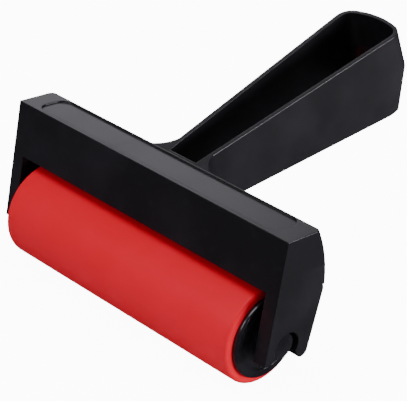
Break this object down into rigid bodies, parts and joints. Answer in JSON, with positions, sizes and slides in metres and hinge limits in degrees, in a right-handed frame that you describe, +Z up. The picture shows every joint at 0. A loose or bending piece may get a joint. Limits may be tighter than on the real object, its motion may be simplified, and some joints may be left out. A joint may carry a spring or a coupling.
{
  "type": "rubber brayer",
  "caption": "Hand roller for printing ink: a rubber-covered roller turning in a moulded hood with an open loop handle behind it.",
  "frame": {"origin": "middle of the roller's axis", "axes": "+X along the roller, +Y back along the handle, +Z up and square to the top of the hood"},
  "size_m": [0.1178, 0.1188, 0.08],
  "materials": {
    "frame_plastic": "satin black moulding",
    "core_plastic": "plain black tube",
    "roller_rubber": "smooth satin red",
    "cap_plastic": "glossy black moulding"
  },
  "bodies": {
    "frame": {"frame": "frame_plastic"},
    "roller": {"core_tube": "core_plastic", "rubber_sleeve": "roller_rubber", "left_end_cap": "cap_plastic", "right_end_cap": "cap_plastic"}
  },
  "joints": [
    {"name": "roller_spin", "type": "hinge", "parent": "frame", "child": "roller", "pos_m": [0, 0, 0], "axis": [1, 0, 0], "continuous": true}
  ]
}
